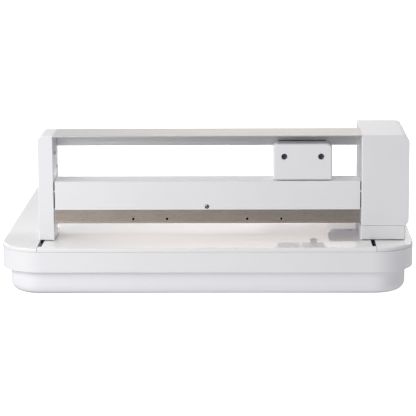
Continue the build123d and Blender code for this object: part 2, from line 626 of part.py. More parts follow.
# Right tower: a deep cover above a slightly narrower skirt.
with BuildPart() as right_tower_cover:
    with BuildSketch(upright(TOWER_BACK_Y)) as tower_front:
        with Locations(((TOWER_X0 + TOWER_X1) / 2, (SKIRT_TOP_Z + TOP_Z) / 2)):
            Rectangle(TOWER_X1 - TOWER_X0, TOP_Z - SKIRT_TOP_Z)
        fillet(tower_front.vertices().sort_by(Axis.X)[-2:].sort_by(Axis.Y)[-1], TOWER_CORNER_R)
        fillet(tower_front.vertices().sort_by(Axis.X)[-2:].sort_by(Axis.Y)[0], TOWER_FOOT_R)
    extrude(amount=TOWER_D)
    for end, edge_r in ((0, TOWER_EDGE_R), (-1, EDGE_R)):
        front_sides = right_tower_cover.faces().sort_by(Axis.Y)[0].edges().filter_by(Axis.Z)
        fillet(front_sides.sort_by(Axis.X)[end], edge_r)
    block(TOWER_X0 + COVER_WALL, TOWER_X1 - COVER_WALL,
          BRIDGE_Y + COVER_WALL, TOWER_BACK_Y - COVER_WALL,
          SKIRT_TOP_Z + TOWER_FOOT_R, TOP_Z - TOWER_CORNER_R, Mode.SUBTRACT)
    block(TOWER_X0 + COVER_WALL, TOWER_X1 - TOWER_CORNER_R,
          BRIDGE_Y + COVER_WALL, TOWER_BACK_Y - COVER_WALL,
          TOP_Z - TOWER_CORNER_R, TOP_Z - COVER_WALL, Mode.SUBTRACT)
    block(TOWER_X0 + COVER_WALL, TOWER_X1 - TOWER_FOOT_R,
          BRIDGE_Y + COVER_WALL, TOWER_BACK_Y - COVER_WALL,
          SKIRT_TOP_Z, SKIRT_TOP_Z + TOWER_FOOT_R, Mode.SUBTRACT)
    block(TOWER_X0, TOWER_X0 + COVER_WALL, DRIVE_Y - 6, DRIVE_Y + 6, X_BELT_Z - 12, X_BELT_Z + 12,
          Mode.SUBTRACT)
    rod(across(TOWER_X0), DRIVE_Y, GUIDE_Z, GUIDE_R, COVER_WALL, Mode.SUBTRACT)
save(right_tower_cover, "right_tower_cover")

with BuildPart() as right_tower_skirt:
    block(SKIRT_X0, SKIRT_X1, BRIDGE_Y + SKIRT_INSET, TOWER_BACK_Y - SKIRT_INSET, FOOT_Z, SKIRT_TOP_Z - 0.3)
    fillet(right_tower_skirt.edges().filter_by(Axis.Z), TOWER_EDGE_R)
    fillet(right_tower_skirt.faces().sort_by(Axis.Z)[0].edges(), HEM_R)
    block(SKIRT_X0 + COVER_WALL, SKIRT_X1 - COVER_WALL, BRIDGE_Y + SKIRT_INSET + COVER_WALL,
          TOWER_BACK_Y - SKIRT_INSET - COVER_WALL, FOOT_Z, SKIRT_TOP_Z, Mode.SUBTRACT)
    block(SKIRT_X0, SKIRT_X0 + COVER_WALL, HOME_TAB_Y0, HOME_TAB_Y1, HOME_Z, HOME_Z + HOME_T, Mode.SUBTRACT)
save(right_tower_skirt, "right_tower_skirt")

# Top rail: a wide skin over a deep web at its back, with grooves along both.
with BuildPart() as top_rail:
    with BuildSketch(across(-INNER_X)):
        with BuildLine():
            Polyline((BRIDGE_Y, TOP_Z), (LEG_BACK_Y, TOP_Z), (LEG_BACK_Y, WEB_BOTTOM_Z),
                     (WEB_Y, WEB_BOTTOM_Z), (WEB_Y, TOP_Z - RAIL_SKIN), (BRIDGE_Y, TOP_Z - RAIL_SKIN),
                     close=True)
        make_face()
        for z in WEB_GROOVES_Z:
            with Locations((WEB_Y + GROOVE_DEPTH / 2, z)):
                Rectangle(GROOVE_DEPTH, GROOVE_W, mode=Mode.SUBTRACT)
        for y in SKIN_GROOVES_Y:
            with Locations((y, TOP_Z - GROOVE_DEPTH / 2)):
                Rectangle(GROOVE_W, GROOVE_DEPTH, mode=Mode.SUBTRACT)
        with Locations(((WEB_Y + LEG_BACK_Y) / 2 + 0.5, (WEB_BOTTOM_Z + TOP_Z) / 2 - 0.5)):
            Rectangle(LEG_BACK_Y - WEB_Y - 6, TOP_Z - WEB_BOTTOM_Z - 5, mode=Mode.SUBTRACT)
    extrude(amount=INNER_X + TOWER_X0)
    front_edges = top_rail.faces().sort_by(Axis.Y)[0].edges().filter_by(Axis.X)
    fillet(front_edges, RAIL_EDGE_R)
    web_foot = top_rail.faces().sort_by(Axis.Z)[0].edges().filter_by(Axis.X)
    fillet(web_foot, RAIL_EDGE_R)
save(top_rail, "top_rail")

# Crossbar: a beam, a folded metal strip under and in front of it, and a white cover over it.
with BuildPart() as crossbar_beam:
    with BuildSketch(across(-INNER_X)):
        with Locations(((BEAM_Y0 + BEAM_Y1) / 2, (BEAM_Z0 + BAR_TOP_Z - COVER_WALL) / 2)):
            Rectangle(BEAM_Y1 - BEAM_Y0, BAR_TOP_Z - COVER_WALL - BEAM_Z0)
            Rectangle(BEAM_Y1 - BEAM_Y0 - 2 * BEAM_WALL, BAR_TOP_Z - COVER_WALL - BEAM_Z0 - 2 * BEAM_WALL,
                      mode=Mode.SUBTRACT)
    extrude(amount=INNER_X + TOWER_X0)
    rod(upright(BEAM_Y0), 0, BAR_SCREW_Z, BAR_THREAD_R, -BEAM_WALL, Mode.SUBTRACT)
    for x in STRIP_HOLES_X:
        rod(upright(BEAM_Y0), x, STRIP_HOLE_Z, STRIP_HOLE_R, -BEAM_WALL, Mode.SUBTRACT)
save(crossbar_beam, "crossbar_beam")

with BuildPart() as beam_strip:
    block(BAR_X0, BAR_X1, STRIP_Y, STRIP_Y + STRIP_T, STRIP_BOTTOM_Z, BAR_BOTTOM_Z + 1.5)
    block(BAR_X0, BAR_X1, STRIP_Y - STRIP_LIP, BEAM_Y1, STRIP_BOTTOM_Z, BEAM_Z0)
    lip_edges = beam_strip.faces().sort_by(Axis.Y)[0].edges().filter_by(Axis.X)
    fillet(lip_edges.sort_by(Axis.Z)[-1], STRIP_LIP_R)
    for x in STRIP_HOLES_X:
        rod(upright(STRIP_Y), x, STRIP_HOLE_Z, STRIP_HOLE_R, -STRIP_T, Mode.SUBTRACT)
save(beam_strip, "beam_strip")

with BuildPart() as crossbar_cover:
    with BuildSketch(across(BAR_X0)) as bar_outline:
        with BuildLine():
            Polyline((BAR_Y0, BAR_TOP_Z), (BAR_Y1, BAR_TOP_Z), (BAR_Y1, BAR_BOTTOM_Z),
                     (BAR_Y0 - BAR_LIP, BAR_BOTTOM_Z), (BAR_Y0 - BAR_LIP, BAR_BOTTOM_Z + 0.3),
                     (BAR_Y0, BAR_BOTTOM_Z + BAR_LIP_H), close=True)
        make_face()
        fillet(bar_outline.vertices().group_by(Axis.Y)[-1], EDGE_R)
    extrude(bar_outline.sketch, amount=BAR_X1 - BAR_X0)
    block(BAR_X0, BAR_X1, BEAM_Y0, BEAM_Y1, BAR_BOTTOM_Z, BAR_TOP_Z - COVER_WALL, Mode.SUBTRACT)
    block(BAR_X0, BAR_X1, STRIP_Y, BEAM_Y0, BAR_BOTTOM_Z, BAR_BOTTOM_Z + 1.5, Mode.SUBTRACT)
    recess_y = BAR_Y0 + BAR_SCREW_DEPTH
    rod(upright(recess_y), 0, BAR_SCREW_Z, BAR_SCREW_R, BAR_SCREW_DEPTH + BAR_LIP, Mode.SUBTRACT)
    rod(upright(BAR_Y0), 0, BAR_SCREW_Z, BAR_THREAD_R, BAR_Y0 - BEAM_Y0, Mode.SUBTRACT)
    # small tabs at half height keep the ends clear of the leg and the tower
    for x0, x1 in ((BAR_X0 - BAR_END_GAP + 0.1, BAR_X0), (BAR_X1, BAR_X1 + BAR_END_GAP - 0.1)):
        block(x0, x1, BAR_Y0 + 0.4, BAR_Y0 + 4.0, BAR_TAB_Z - BAR_TAB_H / 2, BAR_TAB_Z + BAR_TAB_H / 2)
save(crossbar_cover, "crossbar_cover")

with BuildPart() as crossbar_screw:
    rod(upright(recess_y), 0, BAR_SCREW_Z, BAR_SCREW_R - 0.4, BAR_HEAD_H)
    fillet(crossbar_screw.faces().sort_by(Axis.Y)[0].edges(), 0.5)
    rod(upright(recess_y), 0, BAR_SCREW_Z, BAR_THREAD_R, recess_y - BEAM_Y0 - BEAM_WALL)
    with BuildSketch(upright(recess_y - BAR_HEAD_H)) as cross_slot:
        with Locations((0, BAR_SCREW_Z)):
            Rectangle(3.4, 0.9)
            Rectangle(0.9, 3.4)
    extrude(cross_slot.sketch, amount=-0.9, mode=Mode.SUBTRACT)
save(crossbar_screw, "crossbar_screw")

# Guide rod and belt behind the crossbar.
with BuildPart() as x_guide_rod:
    rod(across(-FRAME_X - PLATE_T), DRIVE_Y, GUIDE_Z, GUIDE_R, 2 * (FRAME_X + PLATE_T))
save(x_guide_rod, "x_guide_rod")

with BuildPart() as x_belt:
    belt_ends = [(X_IDLER_X, X_BELT_Z, X_PULLEY_R), (X_MOTOR_X, X_BELT_Z, X_PULLEY_R)]
    belt_loop(upright(DRIVE_Y + BELT_W / 2), belt_ends, BELT_W)
save(x_belt, "x_belt")

with BuildPart() as x_idler_pulley:
    pulley(upright(DRIVE_Y + PULLEY_HALF), X_IDLER_X, X_BELT_Z, X_PULLEY_R, 2.0 + RUNNING_FIT)
save(x_idler_pulley, "x_idler_pulley")

with BuildPart() as x_drive_pulley:
    pulley(upright(DRIVE_Y + PULLEY_HALF), X_MOTOR_X, X_BELT_Z, X_PULLEY_R, 0)
    rod(upright(POST_Y1 + 18.0), X_MOTOR_X, X_BELT_Z, MOTOR_SHAFT_R, POST_Y1 + 18.0 - DRIVE_Y)
save(x_drive_pulley, "x_drive_pulley")

with BuildPart() as x_motor:
    with BuildSketch(upright(POST_Y1 + X_MOTOR_L)):
        with Locations((X_MOTOR_X, X_BELT_Z)):
            RectangleRounded(X_MOTOR_SIZE, X_MOTOR_SIZE, 4.0)
    extrude(amount=X_MOTOR_L)
    rod(upright(POST_Y1 + 22.0), X_MOTOR_X, X_BELT_Z, MOTOR_SHAFT_R + RUNNING_FIT, 22.0, Mode.SUBTRACT)
save(x_motor, "x_motor")

# Plate that reaches in from the tower behind the crossbar; it carries the home sensor.
with BuildPart() as home_plate:
    with BuildSketch(Plane.XY.offset(HOME_Z)) as home_plan:
        with BuildLine():
            edge_x = SKIRT_X0 - 0.4
            tab_x = FRAME_X + PLATE_T
            Polyline((HOME_X, HOME_Y0), (edge_x, HOME_Y0), (edge_x, HOME_TAB_Y0), (tab_x, HOME_TAB_Y0),
                     (tab_x, HOME_TAB_Y1), (edge_x, HOME_TAB_Y1), (edge_x, HOME_Y1),
                     (HOME_X + HOME_CHAMFER_X, HOME_Y1), (HOME_X, HOME_Y1 - HOME_CHAMFER_Y), close=True)
        make_face()
        fillet(home_plan.vertices().sort_by(Axis.X)[:2].sort_by(Axis.Y)[0], 4.0)
    extrude(amount=HOME_T)
    for x, y in HOME_SCREWS:
        rod(Plane.XY.offset(HOME_Z), x, y, 1.6, HOME_T, Mode.SUBTRACT)
save(home_plate, "home_plate")

with BuildPart() as plate_screws:
    for x, y in HOME_SCREWS:
        rod(Plane.XY.offset(HOME_Z - 1.6), x, y, 4.0, 1.6)
        rod(Plane.XY.offset(HOME_Z), x, y, 1.6, HOME_T + 4.0)
        rod(Plane.XY.offset(HOME_Z - 1.6), x, y, 1.4, 0.9, Mode.SUBTRACT)
save(plate_screws, "plate_screws")

with BuildPart() as home_sensor:
    block(*SENSOR_X, *SENSOR_Y, HOME_Z + HOME_T, HOME_Z + HOME_T + SENSOR_H)
    fillet(home_sensor.edges().filter_by(Axis.Z), 1.5)
    for x, y in HOME_SCREWS:
        rod(Plane.XY.offset(HOME_Z + HOME_T), x, y, 1.6, 4.0, Mode.SUBTRACT)
save(home_sensor, "home_sensor")

# Sliders run on the rods in the base and are fixed to the outside of the posts.
for side, label in ((-1, "left_slider"), (1, "right_slider")):
    post_out = POST_X + POST_T / 2
    with BuildPart() as slider:
        block(side * post_out, side * (ROD_X + 9), SLIDER_Y0, SLIDER_Y1, ROD_Z - 10, ROD_Z + 10)
        fillet(slider.edges().filter_by(Axis.Y), 1.5)
        rod(upright(SLIDER_Y1), side * ROD_X, ROD_Z, ROD_R + RUNNING_FIT, SLIDER_Y1 - SLIDER_Y0,
            Mode.SUBTRACT)
    save(slider, label)

with BuildPart() as y_belt_clamps:
    for side in (-1, 1):
        run_z = Y_BELT_Z + Y_PULLEY_R
        block(side * (Y_BELT_X - 6), side * (POST_X - POST_T / 2), Y_CLAMP_Y0, Y_CLAMP_Y1,
              run_z - 4, run_z + 6)
        block(side * (Y_BELT_X - 3.5), side * (Y_BELT_X + 3.5), Y_CLAMP_Y0, Y_CLAMP_Y1,
              run_z - SLIDE_GAP, run_z + BELT_T + SLIDE_GAP, Mode.SUBTRACT)
save(y_belt_clamps, "y_belt_clamps")

# ==================================================================================================
# Carriage
# ==================================================================================================

# Front cover: rounded upper corners, softened front edges, open at the back.
with BuildPart() as carriage_cover:
    with BuildSketch(upright(CARRIAGE_Y1)) as carriage_front:
        with Locations((CARRIAGE_X, CARRIAGE_MID_Z)):
            Rectangle(CARRIAGE_W, CARRIAGE_H)
        fillet(carriage_front.vertices().group_by(Axis.Y)[-1], CARRIAGE_CORNER_R)
        fillet(carriage_front.vertices().group_by(Axis.Y)[0], CARRIAGE_FOOT_R)
    extrude(amount=CARRIAGE_D)
    fillet(carriage_cover.faces().sort_by(Axis.Y)[0].edges(), CARRIAGE_EDGE_R)
    with BuildSketch(upright(CARRIAGE_Y1)):
        with Locations((CARRIAGE_X, CARRIAGE_MID_Z)):
            RectangleRounded(CARRIAGE_W - 2 * COVER_WALL, CARRIAGE_H - 2 * COVER_WALL, 5.5)
    extrude(amount=CARRIAGE_D - CARRIAGE_FACE_T, mode=Mode.SUBTRACT)
    for dx in (-HOOP_PITCH / 2, HOOP_PITCH / 2):
        rod(upright(CARRIAGE_Y0), CARRIAGE_X + dx, HOOP_Z, SOCKET_R, -CARRIAGE_FACE_T, Mode.SUBTRACT)
    rims = carriage_cover.faces().sort_by(Axis.Y)[0].edges().filter_by(GeomType.CIRCLE)
    chamfer([e for e in rims if abs(e.radius - SOCKET_R) < 0.1], SOCKET_CHAMFER)
save(carriage_cover, "carriage_cover")

# Two flanged sockets take the pins of the hoop's bracket.
with BuildPart() as hoop_sockets:
    for dx in (-HOOP_PITCH / 2, HOOP_PITCH / 2):
        rod(upright(CARRIAGE_Y0), CARRIAGE_X + dx, HOOP_Z, SOCKET_R, -(SOCKET_L + 2.0))
        rod(upright(CARRIAGE_Y0), CARRIAGE_X + dx, HOOP_Z, HOOP_R, -SOCKET_L, Mode.SUBTRACT)
save(hoop_sockets, "hoop_sockets")

# The arm: a block behind the cover that passes over the crossbar.
with BuildPart() as carriage_arm:
    with BuildSketch(across(CARRIAGE_X - ARM_HALF_W)):
        with BuildLine():
            Polyline((ARM_FRONT_Y, CARRIAGE_Z0 + 4), (ARM_Y0, CARRIAGE_Z0 + 4), (ARM_Y0, ARM_TOP_Z),
                     (GLIDE_Y, ARM_TOP_Z), (GLIDE_Y, CARRIAGE_Z1 - 4), (ARM_FRONT_Y, CARRIAGE_Z1 - 4),
                     close=True)
        make_face()
    extrude(amount=2 * ARM_HALF_W)
    for dx in (-HOOP_PITCH / 2, HOOP_PITCH / 2):
        rod(upright(ARM_FRONT_Y), CARRIAGE_X + dx, HOOP_Z, SOCKET_R, -(SOCKET_L - 1.5), Mode.SUBTRACT)
    for x, z in ARM_SCREWS[:2]:
        rod(upright(ARM_Y0), x, z, ARM_SCREW_R, ARM_SCREW_L, Mode.SUBTRACT)
save(carriage_arm, "carriage_arm")

# The bracket hangs behind the crossbar and ends in a foot with two tabs.
with BuildPart() as arm_bracket:
    block(CARRIAGE_X - ARM_HALF_W, CARRIAGE_X + ARM_HALF_W, ARM_Y0, ARM_BACK_Y, FOOT_TOP_Z, ARM_TOP_Z)
    for x, z in ARM_SCREWS:
        rod(upright(ARM_BACK_Y), x, z, ARM_SCREW_R, ARM_T, Mode.SUBTRACT)
    with BuildSketch(Plane.XY.offset(ARM_BOTTOM_Z)):
        with BuildLine():
            foot_y0 = ARM_Y0
            shoulder_y = FRONT_Y + 139.5
            tab_y = FOOT_BACK_Y - NOTCH_L
            half = [(0, foot_y0), (FOOT_HALF_W, foot_y0), (FOOT_HALF_W, shoulder_y), (TAB_HALF_W, tab_y),
                    (TAB_HALF_W, FOOT_BACK_Y), (NOTCH_W / 2, FOOT_BACK_Y), (NOTCH_W / 2, tab_y), (0, tab_y)]
            right_side = [(CARRIAGE_X + x, y) for x, y in half]
            left_side = [(CARRIAGE_X - x, y) for x, y in reversed(half[1:-1])]
            Polyline(*right_side, *left_side, close=True)
        make_face()
    extrude(amount=FOOT_T)
    block(CARRIAGE_X - 28, CARRIAGE_X - 12, FOOT_BACK_Y - 6, FOOT_BACK_Y - 2,
          ARM_BOTTOM_Z, ARM_BOTTOM_Z + 4, Mode.SUBTRACT)
save(arm_bracket, "arm_bracket")

with BuildPart() as bush_block:
    block(CARRIAGE_X - BUSH_END, CARRIAGE_X + BUSH_END, DRIVE_Y - 8, ARM_Y0, GUIDE_Z - 8, GUIDE_Z + 16)
    fillet(bush_block.edges().filter_by(Axis.X).sort_by(Axis.Y)[:2], 1.5)
    rod(across(CARRIAGE_X - BUSH_END), DRIVE_Y, GUIDE_Z, BUSH_R, 2 * BUSH_END, Mode.SUBTRACT)
    for x, z in ARM_SCREWS[2:]:
        rod(upright(ARM_Y0), x, z, ARM_SCREW_R, ARM_SCREW_L, Mode.SUBTRACT)
save(bush_block, "bush_block")

# Cap screws hold the arm and the bush block to the bracket.
with BuildPart() as arm_screws:
    for x, z in ARM_SCREWS:
        rod(upright(ARM_BACK_Y + ARM_HEAD_H), x, z, ARM_HEAD_R, ARM_HEAD_H)
        rod(upright(ARM_BACK_Y), x, z, ARM_SCREW_R, ARM_T + ARM_SCREW_L)
        with BuildSketch(upright(ARM_BACK_Y + ARM_HEAD_H)) as socket:
            with Locations((x, z)):
                RegularPolygon(1.6, 6)
        extrude(socket.sketch, amount=2.0, mode=Mode.SUBTRACT)
save(arm_screws, "arm_screws")

# A dark pad on the arm's top runs along the front of the rail's web.
with BuildPart() as rail_glide:
    with BuildSketch(upright(WEB_Y - SLIDE_GAP)):
        with Locations((CARRIAGE_X, GLIDE_TOP_Z - GLIDE_H / 2)):
            RectangleRounded(GLIDE_W, GLIDE_H, 2.5)
    extrude(amount=WEB_Y - SLIDE_GAP - GLIDE_Y)
save(rail_glide, "rail_glide")

with BuildPart() as guide_bushes:
    for x in (CARRIAGE_X - BUSH_END, CARRIAGE_X + BUSH_END - BUSH_L):
        rod(across(x), DRIVE_Y, GUIDE_Z, BUSH_R, BUSH_L)
        rod(across(x), DRIVE_Y, GUIDE_Z, GUIDE_R + RUNNING_FIT, BUSH_L, Mode.SUBTRACT)
save(guide_bushes, "guide_bushes")

with BuildPart() as belt_clamp:
    top_run = X_BELT_Z + X_PULLEY_R
    block(CARRIAGE_X - 13, CARRIAGE_X + 13, DRIVE_Y - 5.5, ARM_Y0, top_run - 4, top_run + 6)
    block(CARRIAGE_X - 13, CARRIAGE_X + 13, DRIVE_Y - 3.5, DRIVE_Y + 3.5,
          top_run - SLIDE_GAP, top_run + BELT_T + SLIDE_GAP, Mode.SUBTRACT)
save(belt_clamp, "belt_clamp")

# A round post hangs from the right tab, with a hexagon socket in its end.
with BuildPart() as adjuster_post:
    rod(Plane.XY.offset(ARM_BOTTOM_Z - POST_PIN_H), CARRIAGE_X + 19, FRONT_Y + 171, POST_PIN_R, POST_PIN_H)
    fillet(adjuster_post.faces().sort_by(Axis.Z)[0].edges(), 1.0)
    with BuildSketch(Plane.XY.offset(ARM_BOTTOM_Z - POST_PIN_H)):
        with Locations((CARRIAGE_X + 19, FRONT_Y + 171)):
            RegularPolygon(4.0, 6)
    extrude(amount=4.0, mode=Mode.SUBTRACT)
save(adjuster_post, "adjuster_post")
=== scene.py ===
"""Looks of the embroidery machine: materials, fine pieces on the CAD nodes, a studio and a camera."""
import json
import math

import bmesh
import bpy
from mathutils import Matrix, Vector


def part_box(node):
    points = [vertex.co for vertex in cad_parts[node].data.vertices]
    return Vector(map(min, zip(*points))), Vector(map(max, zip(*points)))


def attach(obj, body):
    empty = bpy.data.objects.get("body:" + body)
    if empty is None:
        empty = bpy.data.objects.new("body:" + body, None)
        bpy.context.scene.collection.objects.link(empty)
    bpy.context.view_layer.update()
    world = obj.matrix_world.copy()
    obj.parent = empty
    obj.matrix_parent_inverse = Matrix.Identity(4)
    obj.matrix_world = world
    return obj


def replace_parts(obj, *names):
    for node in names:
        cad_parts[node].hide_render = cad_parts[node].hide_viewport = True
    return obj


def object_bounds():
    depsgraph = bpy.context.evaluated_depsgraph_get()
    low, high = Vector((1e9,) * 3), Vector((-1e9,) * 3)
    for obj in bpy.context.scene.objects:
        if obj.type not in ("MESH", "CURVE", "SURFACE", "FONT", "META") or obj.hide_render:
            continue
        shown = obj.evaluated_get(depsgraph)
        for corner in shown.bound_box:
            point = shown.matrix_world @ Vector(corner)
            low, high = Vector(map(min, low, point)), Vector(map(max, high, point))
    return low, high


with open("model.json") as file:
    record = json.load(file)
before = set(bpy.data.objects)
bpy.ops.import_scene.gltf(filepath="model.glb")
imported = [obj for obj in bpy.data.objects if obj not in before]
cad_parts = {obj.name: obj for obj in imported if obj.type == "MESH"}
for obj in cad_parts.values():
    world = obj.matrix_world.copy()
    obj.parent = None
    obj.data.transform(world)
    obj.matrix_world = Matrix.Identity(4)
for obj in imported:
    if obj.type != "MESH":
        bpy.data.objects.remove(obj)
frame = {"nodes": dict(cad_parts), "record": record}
cad_box = [list(corner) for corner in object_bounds()]
BOX_LOW, BOX_HIGH = (Vector(corner) for corner in cad_box)
CENTRE = (BOX_LOW + BOX_HIGH) / 2
MM = 0.001

# ==================================================================================================
# Materials
# ==================================================================================================

# a noise value is nearly always between these two
NOISE_LOW = 0.3
NOISE_HIGH = 0.7


def new_material(name, colour, roughness, metallic=0.0, specular=0.5):
    """An empty Principled material, with its constant values on the shader's own sockets."""
    mat = bpy.data.materials.new(name)
    mat.use_nodes = True
    shader = mat.node_tree.nodes["Principled BSDF"]
    shader.inputs["Base Color"].default_value = (*colour, 1.0)
    shader.inputs["Roughness"].default_value = roughness
    shader.inputs["Metallic"].default_value = metallic
    shader.inputs["Specular IOR Level"].default_value = specular
    return mat, mat.node_tree, shader


def place(tree, stretch=(1.0, 1.0, 1.0)):
    """The object's own coordinates in metres, stretched along each axis."""
    coords = tree.nodes.new("ShaderNodeTexCoord")
    mapping = tree.nodes.new("ShaderNodeMapping")
    mapping.inputs["Scale"].default_value = stretch
    tree.links.new(coords.outputs["Object"], mapping.inputs["Vector"])
    return mapping.outputs["Vector"]


def noise(tree, vector, scale, detail=3.0, roughness=0.55):
    """A noise texture's value; scale is in cycles per metre."""
    node = tree.nodes.new("ShaderNodeTexNoise")
    node.inputs["Scale"].default_value = scale
    node.inputs["Detail"].default_value = detail
    node.inputs["Roughness"].default_value = roughness
    tree.links.new(vector, node.inputs["Vector"])
    return node.outputs["Fac"]


def spread(tree, value, low, high):
    """Maps a noise value onto low to high."""
    node = tree.nodes.new("ShaderNodeMapRange")
    node.inputs["From Min"].default_value = NOISE_LOW
    node.inputs["From Max"].default_value = NOISE_HIGH
    node.inputs["To Min"].default_value = low
    node.inputs["To Max"].default_value = high
    tree.links.new(value, node.inputs["Value"])
    return node.outputs["Result"]


def tint(tree, value, dark, light):
    """Maps a noise value onto a ramp between two colours."""
    ramp = tree.nodes.new("ShaderNodeValToRGB")
    ramp.color_ramp.elements[0].position = NOISE_LOW
    ramp.color_ramp.elements[0].color = (*dark, 1.0)
    ramp.color_ramp.elements[1].position = NOISE_HIGH
    ramp.color_ramp.elements[1].color = (*light, 1.0)
    tree.links.new(value, ramp.inputs["Fac"])
    return ramp.outputs["Color"]


def bump(tree, shader, height, distance):
    """Raises the shader's surface by a height value; distance is in metres."""
    node = tree.nodes.new("ShaderNodeBump")
    node.inputs["Distance"].default_value = distance
    tree.links.new(height, node.inputs["Height"])
    tree.links.new(node.outputs["Normal"], shader.inputs["Normal"])


def scaled(colour, factor):
    """The colour made darker or lighter, with no channel above 1."""
    return tuple(min(1.0, c * factor) for c in colour)


def moulded_plastic(name, colour, roughness, grain_mm, depth_mm, mottle=0.012, specular=0.5):
    """Moulded plastic: an even colour with a faint cloudiness, and the fine grain of the mould."""
    mat, tree, shader = new_material(name, colour, roughness, specular=specular)
    cloud = noise(tree, place(tree), 9.0)
    tree.links.new(tint(tree, cloud, scaled(colour, 1 - mottle), scaled(colour, 1 + mottle)),
                   shader.inputs["Base Color"])
    grain = noise(tree, place(tree), 1.0 / (grain_mm * MM), detail=2.0)
    tree.links.new(spread(tree, grain, roughness * 0.93, roughness * 1.07), shader.inputs["Roughness"])
    bump(tree, shader, grain, depth_mm * MM)
    return mat


def brushed_metal(name, colour, roughness, along, streak_mm, depth_mm, contrast=0.05, cloud=0.02,
                  edge=(1.0, 1.0, 1.0), across=0.0):
    """Metal brushed along one axis: long fine streaks in colour, roughness and height.

    edge is the tint at a glancing angle, and across how much wider the gloss is across the streaks.
    """
    mat, tree, shader = new_material(name, colour, roughness, metallic=1.0)
    shader.inputs["Specular Tint"].default_value = (*edge, 1.0)
    shader.inputs["Anisotropic"].default_value = across
    round_axis = tree.nodes.new("ShaderNodeTangent")
    round_axis.direction_type = "RADIAL"
    round_axis.axis = along
    tree.links.new(round_axis.outputs["Tangent"], shader.inputs["Tangent"])
    stretch = tuple(0.02 if axis == along else 1.0 for axis in "XYZ")
    streaks = noise(tree, place(tree, stretch), 1.0 / (streak_mm * MM), detail=4.0, roughness=0.7)
    broad = noise(tree, place(tree), 14.0)
    mix = tree.nodes.new("ShaderNodeMix")
    mix.data_type = "RGBA"
    mix.blend_type = "MULTIPLY"
    mix.inputs["Factor"].default_value = 1.0
    fine = tint(tree, streaks, scaled(colour, 1 - contrast), scaled(colour, 1 + contrast))
    wide = tint(tree, broad, (1 - cloud,) * 3, (1.0,) * 3)
    tree.links.new(fine, mix.inputs["A"])
    tree.links.new(wide, mix.inputs["B"])
    tree.links.new(mix.outputs["Result"], shader.inputs["Base Color"])
    tree.links.new(spread(tree, streaks, roughness * 0.85, roughness * 1.15), shader.inputs["Roughness"])
    bump(tree, shader, streaks, depth_mm * MM)
    return mat


def turned_metal(name, colour, roughness, grain_mm=0.3, depth_mm=0.002):
    """Plain machined or drawn metal with a fine even grain."""
    mat, tree, shader = new_material(name, colour, roughness, metallic=1.0)
    grain = noise(tree, place(tree), 1.0 / (grain_mm * MM), detail=3.0)
    tree.links.new(tint(tree, grain, scaled(colour, 0.94), scaled(colour, 1.05)),
                   shader.inputs["Base Color"])
    tree.links.new(spread(tree, grain, roughness * 0.85, roughness * 1.2), shader.inputs["Roughness"])
    bump(tree, shader, grain, depth_mm * MM)
    return mat


def rubber(name, colour, roughness=0.75):
    """Matt rubber with a fine mottled grain."""
    mat, tree, shader = new_material(name, colour, roughness, specular=0.35)
    grain = noise(tree, place(tree), 1.0 / (0.25 * MM), detail=3.0)
    tree.links.new(tint(tree, grain, scaled(colour, 0.8), scaled(colour, 1.25)),
                   shader.inputs["Base Color"])
    tree.links.new(spread(tree, grain, roughness * 0.9, min(1.0, roughness * 1.15)),
                   shader.inputs["Roughness"])
    bump(tree, shader, grain, 0.012 * MM)
    return mat


WHITE = (0.86, 0.86, 0.88)
GLOSS_WHITE = (0.89, 0.885, 0.885)
looks = {
    "base_plastic": moulded_plastic("base_white", WHITE, 0.42, 0.5, 0.004),
    "deck_plastic": moulded_plastic("deck_gloss_white", GLOSS_WHITE, 0.05, 30.0, 0.004, mottle=0.006),
    "bridge_plastic": moulded_plastic("bridge_white", WHITE, 0.31, 0.5, 0.004),
    "carriage_plastic": moulded_plastic("carriage_white", WHITE, 0.38, 0.5, 0.004),
    "rail_aluminium": brushed_metal("rail_anodised", (0.965, 0.965, 0.98), 0.36, "X", 0.35, 0.003,
                                    edge=(0.90, 0.875, 0.82), across=0.5),
    "strip_metal": brushed_metal("strip_brushed", (0.75, 0.655, 0.575), 0.30, "X", 0.3, 0.003,
                                 contrast=0.09, cloud=0.05, across=0.6),
    "frame_steel": turned_metal("zinc_steel", (0.60, 0.61, 0.63), 0.42, 4.0, 0.004),
    "frame_black": moulded_plastic("frame_black_coat", (0.015, 0.015, 0.016), 0.55, 0.4, 0.010, mottle=0.2),
    "rod_steel": brushed_metal("ground_rod", (0.72, 0.72, 0.73), 0.16, "X", 0.2, 0.0006, contrast=0.03),
    "screw_steel": turned_metal("screw_steel", (0.55, 0.55, 0.56), 0.30, 0.3, 0.002),
    "arm_metal": moulded_plastic("arm_pale_paint", (0.80, 0.795, 0.80), 0.42, 0.6, 0.006, mottle=0.02),
    "pulley_aluminium": turned_metal("pulley_aluminium", (0.78, 0.78, 0.79), 0.28, 0.3, 0.001),
    "bush_brass": turned_metal("bush_brass", (0.80, 0.62, 0.33), 0.30, 0.3, 0.002),
    "black_plastic": moulded_plastic("black_plastic", (0.018, 0.018, 0.020), 0.45, 0.4, 0.008, mottle=0.15),
    "belt_rubber": rubber("belt_rubber", (0.020, 0.020, 0.021)),
    "feet_rubber": rubber("feet_rubber", (0.045, 0.045, 0.047)),
    "motor_metal": turned_metal("motor_lacquer", (0.10, 0.10, 0.11), 0.40, 0.6, 0.006),
    "board_resin": moulded_plastic("board_green", (0.02, 0.12, 0.06), 0.35, 1.2, 0.006, mottle=0.10),
}
SOCKET_LILAC = moulded_plastic("socket_lilac_grey", (0.23, 0.19, 0.24), 0.40, 0.4, 0.006, mottle=0.10)
# near-black with hardly any gloss: painted shade inside the strip's holes and for the crossbar screw's cross
# recess
PAINTED_SHADE_BLACK = moulded_plastic("painted_shade_black", (0.004, 0.004, 0.004), 0.7, 0.3, 0.004, mottle=0.2, specular=0.12)
POLISHED_SCREW = turned_metal("polished_screw", (0.40, 0.37, 0.36), 0.14)

